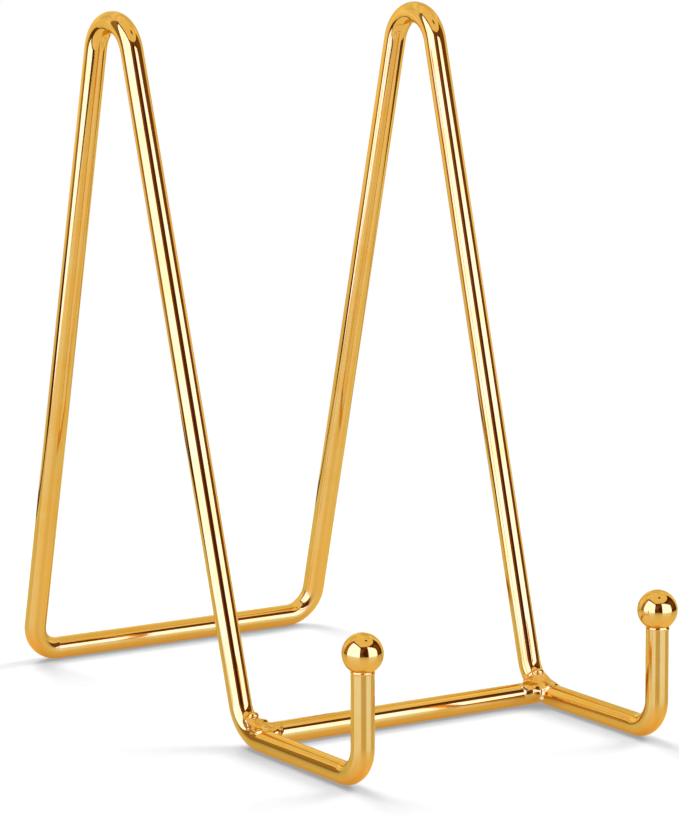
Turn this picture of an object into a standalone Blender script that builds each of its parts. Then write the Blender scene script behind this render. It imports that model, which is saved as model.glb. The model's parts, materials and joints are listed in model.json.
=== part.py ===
"""Display stand for a plate: one bent rod, a front cross bar welded between its heels, and two ball tips.

Metres, +Z up, +X along the cross bar, +Y towards the back. The origin lies on the resting surface, midway
between the two sides, under the front cross bar's centreline.
"""

from math import ceil, cos, pi, radians, sin, sqrt, tan

import bmesh
import bpy
from mathutils import Matrix, Vector

# Stock
ROD_DIAMETER = 0.0050
BALL_DIAMETER = 0.00875
GAP = 0.0003

# Footprint, measured between centrelines
SPAN = 0.0770
BAR_SETBACK = 0.0028
HOOK_REACH = 0.0442
BASE_DEPTH = 0.0895

# Hooks: the short uprights that hold the plate's rim
BALL_HEIGHT = 0.0291
HOOK_LEAN = radians(1.5)

# Legs
FRONT_LEG_LEAN = radians(17.25)
REAR_LEG_LEAN = radians(12.0)
LEG_SPLAY = radians(0.68)

# Bends, as radii of the rod's centreline
HOOK_BEND = 0.0067
HEEL_BEND = 0.0091
TOP_BEND = 0.0080
REAR_BEND = 0.0067

# Welds: a thin disc under each ball, and a bead over each heel and the cross bar's end
BALL_WELD_THICKNESS = 0.0007
BALL_WELD_PROUD = 0.0002
BEAD_RADII = Vector((0.0034, 0.0031, 0.0018))
BEAD_INSET = 0.0012
BEAD_FORWARD = 0.0008
BEAD_HEIGHT = 0.0043
BEAD_TILT = radians(20)

# Facets
ROD_SIDES = 24
BEND_STEP = radians(10)
BALL_SEGMENTS = 28
BALL_RINGS = 18
BEAD_DETAIL = 3
SHARP_ANGLE = radians(35)

ROD_RADIUS = ROD_DIAMETER / 2
BALL_RADIUS = BALL_DIAMETER / 2
HALF_SPAN = SPAN / 2
HEEL_Y = BAR_SETBACK
HOOK_Y = HEEL_Y - HOOK_REACH
REAR_Y = HEEL_Y + BASE_DEPTH
HOOK_DIRECTION = Vector((0, sin(HOOK_LEAN), cos(HOOK_LEAN)))
BALL_RISE = (BALL_HEIGHT - ROD_RADIUS) / cos(HOOK_LEAN)
SEAT_DEPTH = sqrt(BALL_RADIUS ** 2 - ROD_RADIUS ** 2)


def clear_scene():
    """Remove every object, so that the model starts from nothing."""
    for thing in list(bpy.data.objects):
        bpy.data.objects.remove(thing, do_unlink=True)


def gold_plating(name, roughness):
    """Bright yellow plating over steel."""
    material = bpy.data.materials.new(name)
    material.use_nodes = True
    shader = material.node_tree.nodes["Principled BSDF"]
    shader.inputs["Base Color"].default_value = (0.78, 0.47, 0.11, 1.0)
    shader.inputs["Metallic"].default_value = 1.0
    shader.inputs["Roughness"].default_value = roughness
    return material


def make_object(name, bm, material):
    """Close a bmesh into a named, smooth-shaded object in the scene."""
    bmesh.ops.recalc_face_normals(bm, faces=bm.faces)
    mesh = bpy.data.meshes.new(name)
    bm.to_mesh(mesh)
    bm.free()
    mesh.shade_smooth()
    mesh.set_sharp_from_angle(angle=SHARP_ANGLE)
    mesh.materials.append(material)
    thing = bpy.data.objects.new(name, mesh)
    bpy.context.collection.objects.link(thing)
    return thing


def make_cutter(thing):
    """Mark an object as a cutting shape that isn't part of the stand."""
    thing.hide_render = True
    thing.display_type = "WIRE"


def carry_ring(bm, ring, motion):
    """Extrude the rod's open end by a motion, and return the new ring of edges."""
    drawn = bmesh.ops.extrude_edge_only(bm, edges=ring)["geom"]
    moved = [part for part in drawn if isinstance(part, bmesh.types.BMVert)]
    bmesh.ops.transform(bm, matrix=motion, verts=moved)
    return [part for part in drawn if isinstance(part, bmesh.types.BMEdge) and part.is_boundary]


def bend_ring(bm, ring, centre, axis, angle):
    """Carry the rod's open end round a bend in even steps, and return the new ring of edges."""
    steps = ceil(angle / BEND_STEP)
    turn = Matrix.Rotation(angle / steps, 4, axis)
    step = Matrix.Translation(centre) @ turn @ Matrix.Translation(-centre)
    for _ in range(steps):
        ring = carry_ring(bm, ring, step)
    return ring


def rod_corners():
    """The +X half of the rod as (corner, bend radius), from the hook's tip to the middle of the rear bar."""
    apex_rise = BASE_DEPTH / (tan(FRONT_LEG_LEAN) + tan(REAR_LEG_LEAN))
    hook = Vector((HALF_SPAN, HOOK_Y, ROD_RADIUS))
    tip_rise = BALL_RISE - SEAT_DEPTH - BALL_WELD_THICKNESS - 2 * GAP
    apex = Vector((
        HALF_SPAN + apex_rise * tan(LEG_SPLAY),
        HEEL_Y + apex_rise * tan(FRONT_LEG_LEAN),
        ROD_RADIUS + apex_rise,
    ))
    return [
        (hook + tip_rise * HOOK_DIRECTION, 0),
        (hook, HOOK_BEND),
        (Vector((HALF_SPAN, HEEL_Y, ROD_RADIUS)), HEEL_BEND),
        (apex, TOP_BEND),
        (Vector((HALF_SPAN, REAR_Y, ROD_RADIUS)), REAR_BEND),
        (Vector((0, REAR_Y, ROD_RADIUS)), 0),
    ]


def bent_rod(name, material, flat_radius):
    """The whole rod: straights joined by bends, mirrored across the middle of the rear bar.

    flat_radius is the distance from the centreline to each facet, so the hook runs rest flat on the floor.
    """
    corners = rod_corners()
    heading = (corners[1][0] - corners[0][0]).normalized()
    across = Vector((1, 0, 0))
    section = Matrix((across, heading.cross(across), heading)).transposed().to_4x4()
    section.translation = corners[0][0]
    half_facet = Matrix.Rotation(pi / ROD_SIDES, 4, "Z")

    bm = bmesh.new()
    bmesh.ops.create_circle(
        bm,
        cap_ends=True,
        segments=ROD_SIDES,
        radius=flat_radius / cos(pi / ROD_SIDES),
        matrix=section @ half_facet,
    )
    ring = bm.edges[:]
    position = corners[0][0]
    for (corner, radius), (following, _) in zip(corners[1:-1], corners[2:]):
        next_heading = (following - corner).normalized()
        angle = heading.angle(next_heading)
        tangent = radius * tan(angle / 2)
        ring = carry_ring(bm, ring, Matrix.Translation(corner - tangent * heading - position))
        axis = heading.cross(next_heading).normalized()
        centre = corner - tangent * heading + radius * axis.cross(heading)
        ring = bend_ring(bm, ring, centre, axis, angle)
        position = corner + tangent * next_heading
        heading = next_heading
    carry_ring(bm, ring, Matrix.Translation(corners[-1][0] - position))

    rod = make_object(name, bm, material)
    mirror = rod.modifiers.new("other_side", "MIRROR")
    mirror.merge_threshold = 0.0001
    return rod


def round_bar(name, material, flat_radius, length):
    """A straight bar along X, centred over the origin, with a facet on its underside."""
    along_x = Matrix.Rotation(pi / 2, 4, "Y")
    half_facet = Matrix.Rotation(pi / ROD_SIDES, 4, "Z")
    bm = bmesh.new()
    bmesh.ops.create_cone(
        bm,
        cap_ends=True,
        segments=ROD_SIDES,
        radius1=flat_radius / cos(pi / ROD_SIDES),
        radius2=flat_radius / cos(pi / ROD_SIDES),
        depth=length,
        matrix=along_x @ half_facet,
    )
    bar = make_object(name, bm, material)
    bar.location = (0, 0, ROD_RADIUS)
    return bar


def place_on_hook(thing, side, rise):
    """Stand an object on one hook's centreline, at a distance above the hook's corner."""
    thing.location = Vector((side * HALF_SPAN, HOOK_Y, ROD_RADIUS)) + rise * HOOK_DIRECTION
    thing.rotation_euler.x = -HOOK_LEAN


def ball_tip(name, material, side):
    """A ball with a small flat underneath, where the weld joins it to the rod."""
    bm = bmesh.new()
    bmesh.ops.create_uvsphere(bm, u_segments=BALL_SEGMENTS, v_segments=BALL_RINGS, radius=BALL_RADIUS)
    cut = bmesh.ops.bisect_plane(
        bm,
        geom=[*bm.verts, *bm.edges, *bm.faces],
        plane_co=(0, 0, -SEAT_DEPTH),
        plane_no=(0, 0, -1),
        clear_outer=True,
    )["geom_cut"]
    rim = [part for part in cut if isinstance(part, bmesh.types.BMEdge)]
    bmesh.ops.contextual_create(bm, geom=rim)
    ball = make_object(name, bm, material)
    place_on_hook(ball, side, BALL_RISE)
    return ball


def ball_weld(name, material, side):
    """The ring of weld metal squeezed out between the rod's tip and the ball."""
    radius = ROD_RADIUS + BALL_WELD_PROUD
    bm = bmesh.new()
    bmesh.ops.create_cone(
        bm,
        cap_ends=True,
        segments=ROD_SIDES,
        radius1=radius,
        radius2=radius,
        depth=BALL_WELD_THICKNESS,
    )
    weld = make_object(name, bm, material)
    rounding = weld.modifiers.new("rounded_edge", "BEVEL")
    rounding.width = BALL_WELD_THICKNESS / 3
    rounding.segments = 2
    place_on_hook(weld, side, BALL_RISE - SEAT_DEPTH - GAP - BALL_WELD_THICKNESS / 2)
    return weld


def heel_bead(name, material, side, cutters):
    """The bead of weld in the corner where the cross bar meets the heel, fitted round both."""
    bm = bmesh.new()
    bmesh.ops.create_icosphere(bm, subdivisions=BEAD_DETAIL, radius=1.0)
    bmesh.ops.scale(bm, vec=BEAD_RADII, verts=bm.verts)
    bead = make_object(name, bm, material)
    bead.location = (side * (HALF_SPAN - BEAD_INSET), -BEAD_FORWARD, BEAD_HEIGHT)
    bead.rotation_euler.x = BEAD_TILT
    for cutter in cutters:
        fit = bead.modifiers.new("fit_" + cutter.name, "BOOLEAN")
        fit.operation = "DIFFERENCE"
        fit.object = cutter
    return bead


def build():
    clear_scene()
    plating = gold_plating("bright_gold_plating", 0.12)
    weld_plating = gold_plating("gold_plated_weld", 0.22)
    bar_length = SPAN - ROD_DIAMETER - 2 * GAP

    bent_rod("frame_rod", plating, ROD_RADIUS)
    round_bar("cross_bar", plating, ROD_RADIUS, bar_length)
    rod_clearance = bent_rod("rod_clearance", plating, ROD_RADIUS + GAP)
    bar_clearance = round_bar("bar_clearance", plating, ROD_RADIUS + GAP, bar_length + 2 * GAP)
    make_cutter(rod_clearance)
    make_cutter(bar_clearance)
    for side, word in ((-1, "left"), (1, "right")):
        ball_tip(word + "_ball", plating, side)
        ball_weld(word + "_ball_weld", weld_plating, side)
        heel_bead(word + "_heel_weld", weld_plating, side, (rod_clearance, bar_clearance))


build()
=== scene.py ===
"""Looks of the gold-plated plate stand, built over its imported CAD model.

Metres, in the CAD model's frame: +Z up, the floor at z = 0, the cross bar along X, the ball-tipped hooks at -Y.
Every CAD node is replaced by a finer surface in the same place: a drawn and bent round rod, a round cross bar,
two turned balls, and the weld metal that joins them. The sizes come from the CAD nodes' boxes and mounts.
"""

import json
from math import asin, ceil, cos, pi, radians, sin, sqrt, tan

import bpy
import numpy as np
from mathutils import Matrix, Vector


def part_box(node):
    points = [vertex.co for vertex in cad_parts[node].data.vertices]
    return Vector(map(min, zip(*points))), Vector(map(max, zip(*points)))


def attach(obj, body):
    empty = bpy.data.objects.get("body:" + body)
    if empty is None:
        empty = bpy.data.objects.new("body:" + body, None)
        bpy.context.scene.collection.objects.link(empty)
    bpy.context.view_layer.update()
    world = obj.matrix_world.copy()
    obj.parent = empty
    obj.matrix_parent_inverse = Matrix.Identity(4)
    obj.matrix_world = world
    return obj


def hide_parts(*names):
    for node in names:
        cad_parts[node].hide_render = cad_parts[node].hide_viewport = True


MM = 0.001

# Bends of the rod, as in the CAD model, apart from the small difference between the two tops
HOOK_LEAN = radians(1.5)
REAR_LEG_LEAN = radians(12.0)
LEG_SPLAY = radians(0.68)
HOOK_BEND = 6.7 * MM
HEEL_BEND = 9.1 * MM
LEFT_TOP_BEND = 7.76 * MM
RIGHT_TOP_BEND = 8.12 * MM
REAR_BEND = 6.7 * MM

# The rod's tip stops this share of the ball's radius short of the ball's centre, and the cross bar's end this share
# of its own radius short of the heel's centreline
TIP_STANDOFF = 0.6
BAR_END_STANDOFF = 0.4

# Fineness of the surfaces
ROD_SIDES = 64
STRAIGHT_STEP = 1.5 * MM
BEND_STEP = radians(3)
BEND_OVAL = 0.015
BALL_RINGS = 48
BALL_SEGMENTS = 72
BALL_WOBBLE = 0.0012
BALL_WOBBLE_LENGTH = 6 * MM
WELD_STEP = 0.11 * MM
NECK_STEP = 0.12 * MM
JUST_INSIDE = 1e-4 * MM
WAVELENGTH_SPREAD = (0.7, 1.5)
JOINING_PASSES = 3

# Heel welds on the +X side, in millimetres and degrees.
# A drop is its centre, its radii, its tilt about X and the reach of its blend. A pit is its centre and radius.
# Each centre is shifted at random by up to HEEL_SCATTER. The last two are the corners of the space the weld is in.
HEEL_DROPS = [
    ((38.1, 0.4, 7.0), (1.25, 0.85, 0.85), 42, 0.12),  # the cap, on the front of the leg
    ((36.5, 0.3, 5.4), (1.60, 0.60, 0.55), 10, 0.50),  # between the cap and the bar
    ((35.8, -3.4, 1.9), (0.55, 0.60, 0.40), 0, 0.60),  # low, against the inner side of the run
    ((34.8, -2.5, 3.3), (1.90, 1.30, 1.50), 0, 0.90),  # in the front corner
    ((32.9, -1.2, 4.4), (1.00, 0.90, 0.60), 0, 0.50),  # the lobe along the bar
]
HEEL_PITS = [((40.7, -1.8, 4.4), 0.40), ((39.6, -4.2, 5.3), 0.50)]
HEEL_SCATTER = 0.2
HEEL_LOW = (31.0, -7.8, -0.6)
HEEL_HIGH = (42.4, 6.6, 9.0)

# Patches where the heel weld lies as a skin over the rod and over the bar, and the body that bounds it
POOL = ((37.9, -1.9, 5.4), (3.2, 3.9, 2.2), 12)
POOL_SKIN = 0.42 * MM
SLEEVE = ((34.8, -1.4, 3.6), (2.6, 2.2, 2.3), 0)
SLEEVE_SKIN = 0.30 * MM
HEEL_BOUND = ((36.4, -0.9, 3.6), (5.2, 6.6, 4.4), 18)
SKIN_EDGE_UNEVEN = 0.25 * MM
SKIN_EDGE_WAVE = 3.0 * MM
SKIN_EDGE_SOFT = 0.4 * MM
SKIN_BLEND = 0.35 * MM
PIT_BLEND = 0.35 * MM

# Heel fillet: away from the joint its metal lies just under both surfaces, and near the floor it shrinks from
# LOW_FILLET + FILLET_GAIN to LOW_FILLET, in millimetres
HEEL_SINK = 0.12 * MM
LOW_FILLET, FILLET_GAIN = 0.6, 2.6
FILLET_FROM, FILLET_OVER = 0.6 * MM, 2.0 * MM
BAR_OVERLAP = 0.2 * MM
HEEL_LUMP, HEEL_LUMP_LENGTH = 0.035 * MM, 2.6 * MM
HEEL_CREASE = 0.5 * MM

# Neck welds, under the balls
NECK_SINK = 0.13 * MM
NECK_FILLET = 0.45 * MM
NECK_BEAD_RADIUS = 0.31 * MM
NECK_BEAD_UNEVEN, NECK_BEAD_WAVE = 0.07 * MM, 4.0 * MM
NECK_BEAD_INSET = 0.20 * MM
NECK_BEAD_DROP = 0.35 * MM
NECK_BEAD_BLEND = 0.15 * MM
NECK_LUMPS = [(0.05 * MM, 1.8 * MM), (0.02 * MM, 0.8 * MM)]
NECK_BAND_DROP, NECK_BAND_HALF = 0.1 * MM, 1.1 * MM
NECK_BOX = (4.2, 4.2, 1.6)
NECK_CREASE = 0.4 * MM

# Plating, with the scales of its noise per metre
GOLD = (0.80, 0.455, 0.088, 1)
DEEP_GOLD = (0.80, 0.415, 0.060, 1)
# Painted reflection: the warmer gold painted on undersides near the floor
UNDERSIDE_REFLECTION_GOLD = (0.98, 0.42, 0.055, 1)
HEAT_TINT = (0.72, 0.26, 0.025, 1)
EDGE_GOLD = (0.90, 0.80, 0.52, 1)
PATCH_SCALE = 140
CLOUD_SCALE = 900
WAVE_SCALE, WAVE_HEIGHT = 260, 0.55
RIPPLE_SCALE, RIPPLE_HEIGHT = 1700, 0.5
DRAWN_STRETCH, DRAWN_HEIGHT = (9.0, 9.0, 30.0), 0.30
DRAWN_TINT = 0.35
HEAT_STRENGTH = 0.5
# Heights where the painted underside reflection is full and where it has faded out
ORANGE_FULL_BELOW, ORANGE_NONE_ABOVE = 20 * MM, 32 * MM
SMOOTH_ROUGHNESS, ROUGHNESS_SPREAD = 0.03, 0.08
WELD_ROUGHNESS, WELD_ROUGHNESS_SPREAD = 0.06, 0.14
BUMP_STRENGTH, BUMP_DISTANCE = 0.35, 0.02 * MM

# Camera
CAMERA_AZIMUTH = radians(-34.52)
CAMERA_ELEVATION = radians(10.37)
CAMERA_ROLL = radians(0.70)
CAMERA_DISTANCE = 0.9678
CAMERA_TARGET = Vector((0.00085, 0.0259, 0.0644))
CAMERA_LENS = 189.69
CAMERA_SENSOR = 36
CAMERA_NEAR = 0.01

# Studio, with bearings from the camera's side, positive to the picture's right
STAND_CENTRE = Vector((0, 0.025, 0))
WHITE = (1, 1, 1, 1)
SOFTBOX_COLOUR = (2.1, 2.4, 8.6, 1)
SOFTBOX_EDGE = 0.04
SHEET_EDGE = 0.004
BACKDROP_RADIUS = 0.30
BACKDROP_LEFT = radians(-107)
BACKDROP_RIGHT = radians(118)
BACKDROP_SLANT = radians(24)
SLANT_POWER = 6
WALL_STEPS = 32
DRAPE = 0.16
FOLD_SCALE = 6.0
DIM_WALL_RADIUS = 0.56
DIM_WALL_COLOUR = (0.36, 0.26, 0.14, 1)
DIM_WALL_START = BACKDROP_LEFT - radians(4)
DIM_WALL_END = radians(-86)
CEILING_HEIGHT = 0.90
CEILING_RADIUS = 0.84
BOOM_PLACE = Vector((0.052, -0.112, 0.50))
BOOM_RADIUS = 0.046
BOOM_COLOUR = (0.05, 0.035, 0.02, 1)
DISC_STEPS = 48
ROOM_DARK = (0.045, 0.020, 0.010, 1)
ROOM_DIM = (0.26, 0.125, 0.06, 1)
CLUTTER_SCALE = 2.2
LIGHTS = [
    ("left_key", radians(-148), radians(50), 4.0),
    ("right_key", radians(122), radians(36), 3.8),
]
LIGHT_SPREAD = radians(34)

# Tabletop: what the camera sees of it, and what reflections see of it
FLOOR_RADIUS = 0.28
FLOOR_SEGMENTS = 96
FLOOR_SEEN_LOW = (0.34, 0.34, 0.345, 1)
FLOOR_SEEN_HIGH = (0.36, 0.36, 0.36, 1)
FLOOR_SEEN_LIFT = 0.34
FLOOR_REFLECTED = (0.16, 0.16, 0.16, 1)
FLOOR_REFLECTED_LIFT = 0.62
FLOOR_SHEEN = (0.55, 0.85, 0.80, 1)
FLOOR_SHEEN_ROUGHNESS = 0.30
FLOOR_SHEEN_IOR = 1.5
FLOOR_GRAIN_SCALE = 400
FLOOR_FADE_FROM, FLOOR_FADE_TO = 0.6 * FLOOR_RADIUS, 0.9 * FLOOR_RADIUS

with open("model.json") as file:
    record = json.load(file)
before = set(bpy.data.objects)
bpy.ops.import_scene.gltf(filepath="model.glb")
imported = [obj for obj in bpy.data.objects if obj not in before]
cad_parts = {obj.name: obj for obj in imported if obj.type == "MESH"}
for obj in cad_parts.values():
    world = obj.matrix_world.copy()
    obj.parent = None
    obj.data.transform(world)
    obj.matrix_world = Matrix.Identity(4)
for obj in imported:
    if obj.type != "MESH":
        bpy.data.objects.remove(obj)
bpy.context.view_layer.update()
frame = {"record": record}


# ---------------------------------------------------------------- sizes taken from the frame

def mount(name):
    """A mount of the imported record."""
    return next(m for m in frame["record"]["mounts"] if m["name"] == name)


bar_low, bar_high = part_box("cross_bar")
ball_low, ball_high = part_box("right_ball")
_, rod_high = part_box("frame_rod")

RADIUS = (bar_high.z - bar_low.z) / 2
BALL_RADIUS = (ball_high.y - ball_low.y) / 2
HALF_SPAN = (ball_high.x + ball_low.x) / 2
BALL = Vector((HALF_SPAN, (ball_high.y + ball_low.y) / 2, ball_high.z - BALL_RADIUS))
REAR_Y = rod_high.y - RADIUS

rest = mount("right_back_rest")
rest_point, rest_normal = Vector(rest["pos_m"]), Vector(rest["axis"])
FRONT_LEG_LEAN = asin(rest_normal.z)
leg_point = rest_point - RADIUS * rest_normal
HEEL_Y = leg_point.y - (leg_point.z - RADIUS) * tan(FRONT_LEG_LEAN)
HOOK_DIRECTION = Vector((0, sin(HOOK_LEAN), cos(HOOK_LEAN)))
HOOK_FOOT = BALL - HOOK_DIRECTION * ((BALL.z - RADIUS) / cos(HOOK_LEAN))


# ---------------------------------------------------------------- mesh helpers

def add_mesh(name, verts, faces, material, attributes=None):
    """A smooth-shaded object from arrays of points and faces, with float vector attributes on its points."""
    mesh = bpy.data.meshes.new(name)
    mesh.from_pydata([tuple(v) for v in verts], [], [tuple(f) for f in faces])
    mesh.update()
    for key, values in (attributes or {}).items():
        layer = mesh.attributes.new(key, "FLOAT_VECTOR", "POINT")
        layer.data.foreach_set("vector", np.asarray(values, np.float32).ravel())
    mesh.shade_smooth()
    mesh.materials.append(material)
    thing = bpy.data.objects.new(name, mesh)
    bpy.context.scene.collection.objects.link(thing)
    return thing


def rounded_path(corners):
    """Points, headings and bend shares along straights joined by arcs, from a list of (corner, bend radius)."""
    points, headings, bends = [], [], []

    def straight(start, end):
        heading = (end - start).normalized()
        steps = max(1, ceil((end - start).length / STRAIGHT_STEP))
        for i in range(steps):
            points.append(start.lerp(end, i / steps))
            headings.append(heading)
            bends.append(0.0)

    position = corners[0][0]
    for (previous, _), (corner, radius), (following, _) in zip(corners, corners[1:], corners[2:]):
        heading = (corner - previous).normalized()
        next_heading = (following - corner).normalized()
        angle = heading.angle(next_heading)
        tangent = radius * tan(angle / 2)
        start = corner - tangent * heading
        straight(position, start)
        axis = heading.cross(next_heading).normalized()
        centre = start + radius * axis.cross(heading)
        steps = ceil(angle / BEND_STEP)
        for i in range(steps):
            turn = Matrix.Rotation(angle * i / steps, 3, axis)
            points.append(centre + turn @ (start - centre))
            headings.append(turn @ heading)
            bends.append(sin(pi * i / steps))
        position = corner + tangent * next_heading
    end = corners[-1][0]
    straight(position, end)
    points.append(end)
    headings.append((end - position).normalized())
    bends.append(0.0)
    return points, headings, bends


def square_to(direction, heading):
    """The part of a direction that is square to a heading, as a unit vector."""
    return (direction - direction.dot(heading) * heading).normalized()


def tube_faces(count):
    """The faces of a tube through count rings of ROD_SIDES points, closed at both ends."""
    faces = []
    for i in range(count - 1):
        for k in range(ROD_SIDES):
            following = (k + 1) % ROD_SIDES
            faces.append((
                i * ROD_SIDES + k,
                i * ROD_SIDES + following,
                (i + 1) * ROD_SIDES + following,
                (i + 1) * ROD_SIDES + k,
            ))
    faces.append(tuple(reversed(range(ROD_SIDES))))
    faces.append(tuple(range((count - 1) * ROD_SIDES, count * ROD_SIDES)))
    return faces


def sweep(name, corners, radius, material):
    """A round rod along a path, closed at both ends, and slightly oval in its bends.

    Its points carry (cosine, sine, length along the rod), for the drawing lines.
    """
    points, headings, bends = rounded_path(corners)
    steep = abs(headings[0].z) > 0.5
    side = Vector((1, 0, 0)) if steep else headings[0].orthogonal().normalized()
    side = square_to(side, headings[0])
    rings, coordinates = [], []
    along = 0.0
    for i, (point, heading, bend) in enumerate(zip(points, headings, bends)):
        if i:
            along += (point - points[i - 1]).length
            turn = headings[i - 1].rotation_difference(heading)
            side = square_to(turn @ side, heading)
        other = heading.cross(side)
        if bend:
            inward = square_to(headings[i + 1] - headings[i - 1], heading)
        for k in range(ROD_SIDES):
            angle = 2 * pi * k / ROD_SIDES
            out = cos(angle) * side + sin(angle) * other
            reach = radius
            if bend:
                reach *= 1 - BEND_OVAL * bend * (2 * out.dot(inward) ** 2 - 1)
            rings.append(point + reach * out)
            coordinates.append((cos(angle), sin(angle), along))
    return add_mesh(name, rings, tube_faces(len(points)), material, {"rod_place": coordinates})


def join_diagonals(values):
    """Fill a corner wherever inside points touch only diagonally, so that every edge gets two faces."""
    for plane in ((0, 1), (1, 2), (0, 2)):
        turned = np.moveaxis(values, plane, (0, 1))
        inside = turned < 0
        a, b, c, d = inside[:-1, :-1], inside[1:, :-1], inside[:-1, 1:], inside[1:, 1:]
        falling, rising = a & d & ~b & ~c, b & c & ~a & ~d
        turned[1:, :-1][falling] = -JUST_INSIDE
        turned[:-1, :-1][rising] = -JUST_INSIDE


def level_set(name, field, low, high, step, material, attributes):
    """The closed surface where a field of points is zero, inside where it is below zero, by surface nets."""
    low, high = np.array(low, float), np.array(high, float)
    counts = np.ceil((high - low) / step).astype(int) + 1
    axes = [low[i] + step * np.arange(counts[i]) for i in range(3)]
    values = field(np.stack(np.meshgrid(*axes, indexing="ij"), -1))
    for _ in range(JOINING_PASSES):
        join_diagonals(values)
    inside = values < 0
    corners = [np.array(c) for c in np.ndindex(2, 2, 2)]
    size = counts - 1
    full = sum(
        inside[c[0]:c[0] + size[0], c[1]:c[1] + size[1], c[2]:c[2] + size[2]].astype(int) for c in corners
    )
    active = (full > 0) & (full < len(corners))
    cells = np.argwhere(active)
    index = np.full(active.shape, -1)
    index[active] = np.arange(len(cells))

    # One point in each cell that the surface crosses, at the mean of the crossings on the cell's edges
    total = np.zeros((len(cells), 3))
    hits = np.zeros(len(cells))
    units = np.eye(3, dtype=int)
    for axis in range(3):
        for corner in corners:
            if corner[axis]:
                continue
            start = cells + corner
            end = start + units[axis]
            a, b = values[tuple(start.T)], values[tuple(end.T)]
            crossed = (a < 0) != (b < 0)
            share = np.where(crossed, a / np.where(crossed, a - b, 1), 0)
            total += np.where(crossed[:, None], start + share[:, None] * units[axis], 0)
            hits += crossed
    verts = low + step * total / hits[:, None]

    # One face round each grid edge that the surface crosses
    faces = []
    for axis in range(3):
        first, second = units[(axis + 1) % 3], units[(axis + 2) % 3]
        starts = cells[(cells[:, (axis + 1) % 3] > 0) & (cells[:, (axis + 2) % 3] > 0)]
        a = inside[tuple(starts.T)]
        b = inside[tuple((starts + units[axis]).T)]
        crossed, forward = starts[a != b], a[a != b]
        ring = [crossed, crossed - first, crossed - first - second, crossed - second]
        quads = np.stack([index[tuple(r.T)] for r in ring], 1)
        quads[~forward] = quads[~forward][:, ::-1]
        faces.append(quads)
    quads = np.concatenate(faces)
    return add_mesh(name, verts, quads, material, {key: rule(verts) for key, rule in attributes.items()})


def smooth_min(a, b, reach):
    """The smaller of two fields, blended where they are within reach of each other."""
    share = np.clip(0.5 + 0.5 * (b - a) / reach, 0, 1)
    return b * (1 - share) + a * share - reach * share * (1 - share)


def ellipsoid(points, centre, radii, tilt):
    """A rough signed distance to an ellipsoid, tilted about X."""
    offset = points - np.array(centre)
    c, s = cos(tilt), sin(tilt)
    y = c * offset[..., 1] + s * offset[..., 2]
    z = -s * offset[..., 1] + c * offset[..., 2]
    scaled = np.stack([offset[..., 0], y, z], -1) / np.array(radii)
    length = np.linalg.norm(scaled, axis=-1)
    return (length - 1) * min(radii)


def ellipsoid_mm(points, centre, radii, tilt):
    """The same, with its centre and radii in millimetres and its tilt in degrees."""
    return ellipsoid(points, [c * MM for c in centre], [r * MM for r in radii], radians(tilt))


def lumps(points, wavelength, seed, waves=14):
    """A smooth random field between about -1 and 1: a sum of plane waves."""
    rng = np.random.default_rng(seed)
    total = np.zeros(points.shape[:-1])
    for _ in range(waves):
        direction = rng.normal(size=3)
        direction *= 2 * pi / (np.linalg.norm(direction) * wavelength * rng.uniform(*WAVELENGTH_SPREAD))
        total += np.sin(points @ direction + rng.uniform(0, 2 * pi))
    return total / sqrt(waves)


def crease_attribute(gap, width):
    """A point attribute whose X is 1 where two surfaces meet and falls off with the gap between them."""
    crease = np.exp(-np.abs(gap) / width)
    return np.stack([crease, np.zeros_like(crease), np.zeros_like(crease)], 1)


# ---------------------------------------------------------------- materials

class Nodes:
    """Short calls for building one node tree, which starts empty."""

    def __init__(self, owner):
        owner.use_nodes = True
        self.tree = owner.node_tree
        self.tree.nodes.clear()

    def add(self, kind, values=None, **properties):
        """A new node, with its inputs set to values or linked to sockets."""
        node = self.tree.nodes.new(kind)
        for key, value in properties.items():
            setattr(node, key, value)
        for key, value in (values or {}).items():
            self.put(node.inputs[key], value)
        return node

    def put(self, socket, value):
        """Set an input to a value, or link it to an output."""
        if isinstance(value, bpy.types.NodeSocket):
            self.tree.links.new(value, socket)
        else:
            socket.default_value = value

    def math(self, operation, a, b=0.0, c=0.0):
        return self.add("ShaderNodeMath", {0: a, 1: b, 2: c}, operation=operation).outputs[0]

    def step(self, value, low, high, to_low=0.0, to_high=1.0):
        """A smooth step between two levels while the value goes from low to high."""
        node = self.add(
            "ShaderNodeMapRange",
            {"Value": value, "From Min": low, "From Max": high, "To Min": to_low, "To Max": to_high},
            interpolation_type="SMOOTHSTEP",
        )
        return node.outputs["Result"]

    def mix(self, share, a, b):
        """Colour a where the share is 0, and colour b where it is 1."""
        node = self.add("ShaderNodeMix", data_type="RGBA")
        self.put(node.inputs[0], share)
        self.put(node.inputs[6], a)
        self.put(node.inputs[7], b)
        return node.outputs[2]

    def noise(self, vector, scale, detail, roughness):
        node = self.add(
            "ShaderNodeTexNoise", {"Vector": vector, "Scale": scale, "Detail": detail, "Roughness": roughness}
        )
        return node.outputs["Fac"]

    def part(self, vector, axis):
        """One axis of a vector."""
        return self.add("ShaderNodeSeparateXYZ", {0: vector}).outputs[axis]


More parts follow.
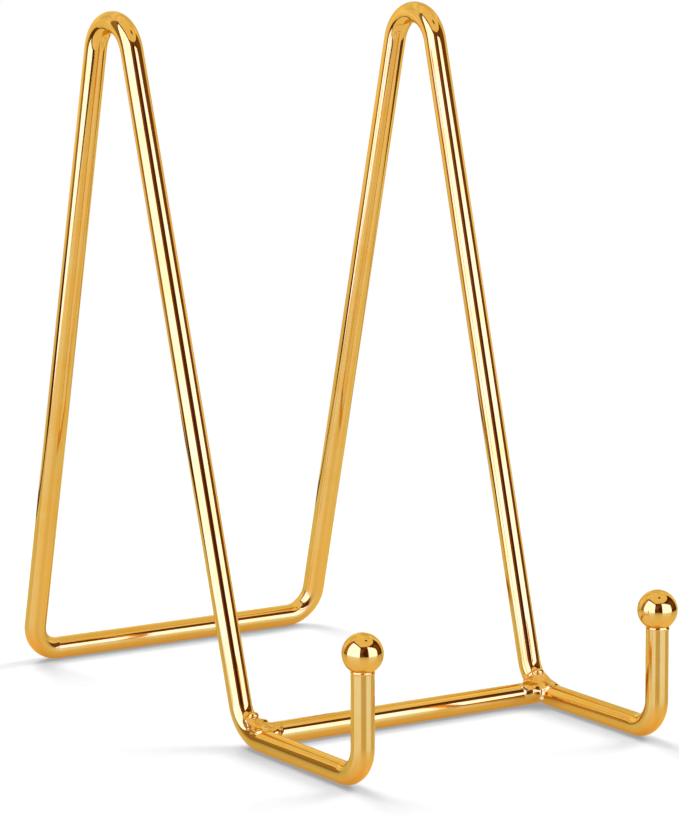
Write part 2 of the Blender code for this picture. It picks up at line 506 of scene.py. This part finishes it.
def gold_material(name, drawn=False, weld=False):
    """Bright gold plating, with a painted warm reflection on undersides near the floor. Drawn rod has fine lines
    along its length; weld metal is rougher and heat tinted.
    """
    material = bpy.data.materials.new(name)
    n = Nodes(material)
    out = n.add("ShaderNodeOutputMaterial")
    shader = n.add("ShaderNodeBsdfPrincipled", {"Metallic": 1.0, "Specular Tint": EDGE_GOLD})
    n.put(out.inputs["Surface"], shader.outputs[0])

    place = n.add("ShaderNodeTexCoord").outputs["Object"]
    patches = n.noise(place, PATCH_SCALE, detail=3, roughness=0.6)
    clouds = n.noise(place, CLOUD_SCALE, detail=2, roughness=0.5)
    colour = n.mix(n.step(patches, low=0.35, high=0.75), GOLD, DEEP_GOLD)

    # Near the floor, the undersides are painted a warmer gold: a painted reflection of warm light from the table
    # below
    normal = n.add("ShaderNodeNewGeometry").outputs["Normal"]
    facing_down = n.step(n.part(normal, "Z"), low=-0.05, high=-0.65)
    near_floor = n.step(n.part(place, "Z"), ORANGE_NONE_ABOVE, ORANGE_FULL_BELOW)
    colour = n.mix(n.math("MULTIPLY", facing_down, near_floor), colour, UNDERSIDE_REFLECTION_GOLD)

    waves = n.noise(place, WAVE_SCALE, detail=2, roughness=0.5)
    height = n.math("MULTIPLY", waves, WAVE_HEIGHT)
    if drawn:
        rod_place = n.add("ShaderNodeAttribute", attribute_name="rod_place").outputs["Vector"]
        lines = n.add("ShaderNodeVectorMath", {0: rod_place, 1: DRAWN_STRETCH}, operation="MULTIPLY").outputs[0]
        drawing = n.noise(lines, 1.0, detail=4, roughness=0.6)
        height = n.math("MULTIPLY_ADD", drawing, DRAWN_HEIGHT, height)
        colour = n.mix(n.step(drawing, low=0.55, high=0.8, to_high=DRAWN_TINT), colour, DEEP_GOLD)
        rough = n.math("MULTIPLY_ADD", drawing, ROUGHNESS_SPREAD, SMOOTH_ROUGHNESS)
    elif weld:
        crease = n.add("ShaderNodeAttribute", attribute_name="weld_place").outputs["Vector"]
        ripples = n.noise(place, RIPPLE_SCALE, detail=2, roughness=0.6)
        height = n.math("MULTIPLY_ADD", ripples, RIPPLE_HEIGHT, height)
        patchy = n.step(clouds, low=0.3, high=0.6, to_high=HEAT_STRENGTH)
        colour = n.mix(n.math("MULTIPLY", n.part(crease, "X"), patchy), colour, HEAT_TINT)
        rough = n.math("MULTIPLY_ADD", clouds, WELD_ROUGHNESS_SPREAD, WELD_ROUGHNESS)
    else:
        rough = n.math("MULTIPLY_ADD", clouds, ROUGHNESS_SPREAD, SMOOTH_ROUGHNESS)
    bump = n.add("ShaderNodeBump", {"Height": height, "Strength": BUMP_STRENGTH, "Distance": BUMP_DISTANCE})
    n.put(shader.inputs["Base Color"], colour)
    n.put(shader.inputs["Roughness"], rough)
    n.put(shader.inputs["Normal"], bump.outputs[0])
    return material


def emission_material(name, strength, colour, soft_edge, drape):
    """Light that falls off at the panel's rim, where its coordinates are 0 and 1. A draped sheet glows unevenly."""
    material = bpy.data.materials.new(name)
    n = Nodes(material)
    out = n.add("ShaderNodeOutputMaterial")
    place = n.add("ShaderNodeTexCoord").outputs
    parts = n.add("ShaderNodeSeparateXYZ", {0: place["UV"]}).outputs
    level = strength
    for axis in ("X", "Y"):
        share = n.math("PINGPONG", parts[axis], 0.5)
        level = n.math("MULTIPLY", n.step(share, 0.0, soft_edge), level)
    if drape:
        folds = n.noise(place["Object"], FOLD_SCALE, detail=2, roughness=0.5)
        unevenness = n.step(folds, low=0.36, high=0.64, to_low=1 - drape, to_high=1 + drape)
        level = n.math("MULTIPLY", unevenness, level)
    glow = n.add("ShaderNodeEmission", {"Color": colour, "Strength": level})
    n.put(out.inputs["Surface"], glow.outputs[0])
    return material


# ---------------------------------------------------------------- the stand

def rod_corners(side):
    """One half of the rod as (corner, bend radius), from inside the ball to the rear corner."""
    base = REAR_Y - HEEL_Y
    apex_rise = base / (tan(FRONT_LEG_LEAN) + tan(REAR_LEG_LEAN))
    apex = Vector((
        HALF_SPAN + apex_rise * tan(LEG_SPLAY),
        HEEL_Y + apex_rise * tan(FRONT_LEG_LEAN),
        RADIUS + apex_rise,
    ))
    corners = [
        (BALL - TIP_STANDOFF * BALL_RADIUS * HOOK_DIRECTION, 0),
        (HOOK_FOOT, HOOK_BEND),
        (Vector((HALF_SPAN, HEEL_Y, RADIUS)), HEEL_BEND),
        (apex, LEFT_TOP_BEND if side < 0 else RIGHT_TOP_BEND),
        (Vector((HALF_SPAN, REAR_Y, RADIUS)), REAR_BEND),
    ]
    return [(Vector((side * c.x, c.y, c.z)), r) for c, r in corners]


def heel_distance(points):
    """Signed distance to the rod's surface near a heel on the +X side: the run, the heel's arc and the leg."""
    x = np.abs(points[..., 0]) - HALF_SPAN
    y, z = points[..., 1], points[..., 2]
    turn = pi / 2 - FRONT_LEG_LEAN
    start_y, centre_z = HEEL_Y - HEEL_BEND * tan(turn / 2), RADIUS + HEEL_BEND
    run = np.abs(z - RADIUS)
    arc = np.abs(np.hypot(y - start_y, z - centre_z) - HEEL_BEND)
    leg = np.abs((y - HEEL_Y) * cos(FRONT_LEG_LEAN) - (z - RADIUS) * sin(FRONT_LEG_LEAN))
    turned = np.arctan2(y - start_y, centre_z - z)
    across = np.where(turned < 0, run, np.where(turned < turn, arc, leg))
    return np.hypot(across, x) - RADIUS


def bar_distance(points):
    """Signed distance to the cross bar's surface, taken as endless."""
    return np.hypot(points[..., 1], points[..., 2] - RADIUS) - RADIUS


def heel_weld(name, side, seed, material):
    """The puddle of weld metal in the corner of the bar and the heel, sunk just under both away from the joint."""
    rng = np.random.default_rng(seed)

    def scattered(place):
        return np.array(place) + rng.uniform(-HEEL_SCATTER, HEEL_SCATTER, 3)

    drops = [(scattered(centre), radii, tilt, blend) for centre, radii, tilt, blend in HEEL_DROPS]
    pits = [(scattered(centre) * MM, radius * MM) for centre, radius in HEEL_PITS]

    def to_right(points):
        return points * np.array((side, 1, 1))

    def field(points):
        p = to_right(points)
        rod = heel_distance(p)
        raised = np.clip((p[..., 2] - FILLET_FROM) / FILLET_OVER, 0, 1)
        bar_reach = HALF_SPAN - RADIUS + BAR_OVERLAP + raised * RADIUS
        bar = np.maximum(bar_distance(p), np.abs(p[..., 0]) - bar_reach)
        joint = smooth_min(rod + HEEL_SINK, bar + HEEL_SINK, (LOW_FILLET + FILLET_GAIN * raised) * MM)

        uneven = lumps(p, SKIN_EDGE_WAVE, seed)
        for surface, patch, thickness in ((rod, POOL, POOL_SKIN), (bar, SLEEVE, SLEEVE_SKIN)):
            within = -ellipsoid_mm(p, *patch) - SKIN_EDGE_UNEVEN * uneven
            skin = -smooth_min(thickness - surface, within, SKIN_EDGE_SOFT)
            joint = smooth_min(joint, skin, SKIN_BLEND)
        for centre, radii, tilt, blend in drops:
            joint = smooth_min(joint, ellipsoid_mm(p, centre, radii, tilt), blend * MM)
        joint = joint + HEEL_LUMP * lumps(p, HEEL_LUMP_LENGTH, seed + 1)
        for centre, radius in pits:
            hollow = radius - np.linalg.norm(p - centre, axis=-1)
            joint = -smooth_min(-joint, -hollow, PIT_BLEND)
        return np.maximum(joint, ellipsoid_mm(p, *HEEL_BOUND))

    def weld_place(verts):
        p = to_right(verts)
        return crease_attribute(heel_distance(p) - bar_distance(p), HEEL_CREASE)

    low, high = (Vector([c * MM for c in corner]) for corner in (HEEL_LOW, HEEL_HIGH))
    if side < 0:
        low.x, high.x = -high.x, -low.x
    return level_set(name, field, low, high, WELD_STEP, material, {"weld_place": weld_place})


def ball_mesh(name, side, seed, material):
    """A turned ball, very slightly out of round, with its underside buried in the neck weld."""
    verts = [Vector((0, 0, BALL_RADIUS))]
    for i in range(1, BALL_RINGS):
        polar = pi * i / BALL_RINGS
        for k in range(BALL_SEGMENTS):
            turn = 2 * pi * k / BALL_SEGMENTS
            verts.append(BALL_RADIUS * Vector((sin(polar) * cos(turn), sin(polar) * sin(turn), cos(polar))))
    verts.append(Vector((0, 0, -BALL_RADIUS)))
    points = np.array([tuple(v) for v in verts])
    wobble = 1 + BALL_WOBBLE * lumps(points, BALL_WOBBLE_LENGTH, seed)
    points = points * wobble[:, None]

    faces = []
    last_ring = 1 + (BALL_RINGS - 2) * BALL_SEGMENTS
    for k in range(BALL_SEGMENTS):
        following = (k + 1) % BALL_SEGMENTS
        faces.append((0, 1 + k, 1 + following))
        for i in range(BALL_RINGS - 2):
            a, b = 1 + i * BALL_SEGMENTS, 1 + (i + 1) * BALL_SEGMENTS
            faces.append((a + k, b + k, b + following, a + following))
        faces.append((len(points) - 1, last_ring + following, last_ring + k))
    centre = np.array((side * BALL.x, BALL.y, BALL.z))
    return add_mesh(name, points + centre, faces, material)


def neck_weld(name, side, seed, material):
    """The thin, uneven ring of weld metal in the corner under the ball."""
    centre = np.array((side * BALL.x, BALL.y, BALL.z))
    axis = np.array(tuple(HOOK_DIRECTION))
    seat = sqrt(BALL_RADIUS ** 2 - RADIUS ** 2)

    def parts(points):
        """Signed distances to the ball and to the rod, and the height above the ball's centre."""
        offset = points - centre
        height = offset @ axis
        radial = np.sqrt(np.maximum((offset ** 2).sum(-1) - height ** 2, 0))
        return np.linalg.norm(offset, axis=-1) - BALL_RADIUS, radial - RADIUS, height

    def field(points):
        ball, rod, height = parts(points)
        joint = smooth_min(ball + NECK_SINK, rod + NECK_SINK, NECK_FILLET)
        bead = np.hypot(rod + NECK_BEAD_INSET, height + seat + NECK_BEAD_DROP) - NECK_BEAD_RADIUS
        bead -= NECK_BEAD_UNEVEN * lumps(points, NECK_BEAD_WAVE, seed + 2)
        joint = smooth_min(joint, bead, NECK_BEAD_BLEND)
        (coarse, coarse_length), (fine, fine_length) = NECK_LUMPS
        joint += coarse * lumps(points, coarse_length, seed) + fine * lumps(points, fine_length, seed + 1)
        return np.maximum(joint, np.abs(height + seat + NECK_BAND_DROP) - NECK_BAND_HALF)

    def weld_place(verts):
        ball, rod, _ = parts(verts)
        return crease_attribute(ball - rod, NECK_CREASE)

    neck = centre - axis * seat
    reach = np.array(NECK_BOX) * MM
    return level_set(name, field, neck - reach, neck + reach, NECK_STEP, material, {"weld_place": weld_place})


def build_stand():
    """Every visible piece of the stand, each riding on the one body and standing for its CAD node."""
    rod_gold = gold_material("gold_plated_drawn_rod", drawn=True)
    ball_gold = gold_material("gold_plated_ball")
    weld_gold = gold_material("gold_plated_weld_metal", weld=True)

    def piece(thing, node):
        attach(thing, "root")
        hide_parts(node)

    path = rod_corners(-1) + rod_corners(1)[::-1]
    piece(sweep("polished_frame_rod", path, RADIUS, rod_gold), "frame_rod")
    end = Vector((HALF_SPAN - BAR_END_STANDOFF * RADIUS, 0, RADIUS))
    start = Vector((-end.x, 0, RADIUS))
    piece(sweep("polished_cross_bar", [(start, 0), (end, 0)], RADIUS, rod_gold), "cross_bar")
    for side, word, seed in ((-1, "left", 11), (1, "right", 37)):
        heel = heel_weld(f"{word}_heel_weld_metal", side, seed, weld_gold)
        piece(heel, f"{word}_heel_weld")
        ball = ball_mesh(f"polished_{word}_ball", side, seed + 5, ball_gold)
        piece(ball, f"{word}_ball")
        neck = neck_weld(f"{word}_neck_weld_metal", side, seed + 9, weld_gold)
        piece(neck, f"{word}_ball_weld")


# ---------------------------------------------------------------- studio

def bearing(angle):
    """A level direction from the stand, as an angle from the camera's side, positive to the picture's right."""
    turn = CAMERA_AZIMUTH + angle
    return Vector((sin(turn), -cos(turn), 0))


def glowing(name, verts, faces, uvs, soft_edge, colour=WHITE, strength=1.0, drape=0.0):
    """A luminous surface that only reflections see, and that lights the table if it is white."""
    panel = add_mesh(name, verts, faces, emission_material(name, strength, colour, soft_edge, drape))
    layer = panel.data.uv_layers.new(name="panel")
    for loop in panel.data.loops:
        layer.data[loop.index].uv = uvs[loop.vertex_index]
    panel.visible_camera = False
    panel.visible_diffuse = colour == WHITE
    panel.visible_shadow = False


def softbox(name, facing, distance, left, right, low, high, right_high=None, strength=1.0):
    """An upright glowing panel. Its plane is square to the facing bearing, and it spans two bearings.

    Its top edge is level, unless its right corner has a height of its own.
    """
    outward = bearing(facing)
    across = bearing(facing + pi / 2)
    ends = [distance * (outward + tan(side - facing) * across) for side in (left, right)]
    verts = [
        ends[0] + Vector((0, 0, low)),
        ends[1] + Vector((0, 0, low)),
        ends[1] + Vector((0, 0, high if right_high is None else right_high)),
        ends[0] + Vector((0, 0, high)),
    ]
    corners = [(0, 0), (1, 0), (1, 1), (0, 1)]
    glowing(name, verts, [(0, 1, 2, 3)], corners, SOFTBOX_EDGE, SOFTBOX_COLOUR, strength)


def curved_wall(name, radius, first, last, colour, slant=0.0):
    """A sheet that stands in a curve round the stand, from one bearing to another. Its last edge may slant."""
    verts, uvs = [], []
    for i in range(WALL_STEPS + 1):
        share = i / WALL_STEPS
        turn = first + (last - first) * share
        foot = STAND_CENTRE + radius * bearing(turn)
        top = STAND_CENTRE + radius * bearing(turn + slant * share ** SLANT_POWER)
        verts += [foot, top + Vector((0, 0, CEILING_HEIGHT))]
        uvs += [(share, 0.5), (share, 0.5)]
    faces = [(2 * i, 2 * i + 2, 2 * i + 3, 2 * i + 1) for i in range(WALL_STEPS)]
    glowing(name, verts, faces, uvs, SHEET_EDGE, colour, drape=DRAPE)


def disc_mesh(centre, radius, steps):
    """The points and faces of a flat disc."""
    verts = [centre] + [centre + radius * bearing(2 * pi * i / steps) for i in range(steps)]
    return verts, [(0, 1 + i, 1 + (i + 1) % steps) for i in range(steps)]


def overhead_disc(name, centre, radius, colour):
    """A flat glowing disc overhead."""
    verts, faces = disc_mesh(centre, radius, DISC_STEPS)
    glowing(name, verts, faces, [(0.5, 0.5)] * len(verts), SHEET_EDGE, colour)


def soft_lights():
    """Soft light from behind on both sides, for the contact shadows. Reflections don't show it."""
    for name, turn, elevation, strength in LIGHTS:
        data = bpy.data.lights.new(name, "SUN")
        data.angle = LIGHT_SPREAD
        data.energy = strength
        light = bpy.data.objects.new(name, data)
        light.rotation_mode = "QUATERNION"
        towards = cos(elevation) * bearing(turn) + Vector((0, 0, sin(elevation)))
        light.rotation_quaternion = towards.to_track_quat("Z", "Y")
        light.visible_camera = False
        light.visible_glossy = False
        bpy.context.scene.collection.objects.link(light)


def tabletop_material():
    """White, and fading out into the background to the camera. Reflections see it with a sheen."""
    material = bpy.data.materials.new("white_tabletop")
    n = Nodes(material)
    out = n.add("ShaderNodeOutputMaterial")
    place = n.add("ShaderNodeTexCoord").outputs["Object"]
    grain = n.noise(place, FLOOR_GRAIN_SCALE, detail=3, roughness=0.6)
    light_path = n.add("ShaderNodeLightPath").outputs
    to_camera = light_path["Is Camera Ray"]
    seen = n.mix(n.step(grain, low=0.2, high=0.8), FLOOR_SEEN_LOW, FLOOR_SEEN_HIGH)
    matt = n.add("ShaderNodeBsdfDiffuse", {"Color": n.mix(to_camera, FLOOR_REFLECTED, seen)})
    gloss = n.add("ShaderNodeBsdfGlossy", {"Roughness": FLOOR_SHEEN_ROUGHNESS, "Color": FLOOR_SHEEN})
    sheen = n.add("ShaderNodeFresnel", {"IOR": FLOOR_SHEEN_IOR}).outputs[0]
    only_reflected = n.math("MULTIPLY", sheen, n.math("SUBTRACT", 1.0, to_camera))
    seen_lift = n.math("MULTIPLY", to_camera, FLOOR_SEEN_LIFT)
    lift = n.math("MULTIPLY_ADD", light_path["Is Glossy Ray"], FLOOR_REFLECTED_LIFT, seen_lift)
    glow = n.add("ShaderNodeEmission", {"Color": WHITE, "Strength": lift})
    lifted = n.add("ShaderNodeAddShader", {0: matt.outputs[0], 1: glow.outputs[0]})
    surface = n.add("ShaderNodeMixShader", {0: only_reflected, 1: lifted.outputs[0], 2: gloss.outputs[0]})
    away = n.add("ShaderNodeVectorMath", {0: place, 1: tuple(STAND_CENTRE)}, operation="DISTANCE").outputs["Value"]
    rim = n.math("MULTIPLY", n.step(away, FLOOR_FADE_FROM, FLOOR_FADE_TO), to_camera)
    white = n.add("ShaderNodeEmission", {"Color": WHITE, "Strength": 1.0})
    faded = n.add("ShaderNodeMixShader", {0: rim, 1: surface.outputs[0], 2: white.outputs[0]})
    n.put(out.inputs["Surface"], faded.outputs[0])
    return material


def build_floor():
    """A plain white round of tabletop."""
    verts, faces = disc_mesh(Vector((0, 0, 0)), FLOOR_RADIUS, FLOOR_SEGMENTS)
    add_mesh("floor", verts, faces, tabletop_material())


def build_world():
    """White to the camera, and a dim room to everything else."""
    world = bpy.data.worlds.new("studio")
    bpy.context.scene.world = world
    n = Nodes(world)
    out = n.add("ShaderNodeOutputWorld")
    to_camera = n.add("ShaderNodeLightPath").outputs["Is Camera Ray"]
    direction = n.add("ShaderNodeTexCoord").outputs["Generated"]
    clutter = n.step(n.noise(direction, CLUTTER_SCALE, detail=2, roughness=0.6), low=0.35, high=0.70)
    colour = n.mix(to_camera, n.mix(clutter, ROOM_DARK, ROOM_DIM), WHITE)
    light = n.add("ShaderNodeBackground", {"Color": colour, "Strength": 1.0})
    n.put(out.inputs["Surface"], light.outputs[0])


def build_studio():
    """Two front softboxes with a dark gap between them, a white sheet behind and a white ceiling.

    Between the sheet and the left softbox stands a dim wall, and a small dark disc hangs overhead.
    """
    build_world()
    build_floor()
    curved_wall("backdrop", BACKDROP_RADIUS, BACKDROP_RIGHT, 2 * pi + BACKDROP_LEFT, WHITE, BACKDROP_SLANT)
    curved_wall("dim_wall", DIM_WALL_RADIUS, DIM_WALL_START, DIM_WALL_END, DIM_WALL_COLOUR)
    overhead_disc("ceiling", STAND_CENTRE + Vector((0, 0, CEILING_HEIGHT)), CEILING_RADIUS, WHITE)
    overhead_disc("boom_head", BOOM_PLACE, BOOM_RADIUS, BOOM_COLOUR)
    softbox(
        "left_softbox",
        facing=radians(-65), distance=0.50, left=radians(-87), right=radians(-14), low=-0.10, high=0.66,
    )
    softbox(
        "left_softbox_hood",
        facing=radians(-65), distance=0.51, left=radians(-92), right=radians(-10), low=0.60, high=0.80,
        strength=0.02,
    )
    softbox(
        "right_softbox",
        facing=radians(22), distance=0.50, left=radians(28), right=radians(83), low=-0.10, high=0.50,
        right_high=0.42,
    )
    soft_lights()


def build_camera():
    """The camera, aimed at the stand from its left front."""
    back = Vector((
        sin(CAMERA_AZIMUTH) * cos(CAMERA_ELEVATION),
        -cos(CAMERA_AZIMUTH) * cos(CAMERA_ELEVATION),
        sin(CAMERA_ELEVATION),
    ))
    right = Vector((0, 0, 1)).cross(back).normalized()
    up = back.cross(right)
    rolled_right = cos(CAMERA_ROLL) * right + sin(CAMERA_ROLL) * up
    rolled_up = cos(CAMERA_ROLL) * up - sin(CAMERA_ROLL) * right
    data = bpy.data.cameras.new("camera")
    data.sensor_width = CAMERA_SENSOR
    data.lens = CAMERA_LENS
    data.clip_start = CAMERA_NEAR
    camera = bpy.data.objects.new("camera", data)
    pose = Matrix((rolled_right, rolled_up, back)).transposed().to_4x4()
    pose.translation = CAMERA_TARGET + CAMERA_DISTANCE * back
    camera.matrix_world = pose
    bpy.context.scene.collection.objects.link(camera)
    bpy.context.scene.camera = camera


build_stand()
build_studio()
build_camera()
bpy.context.scene.view_settings.view_transform = "Standard"
bpy.context.scene.cycles.caustics_reflective = False
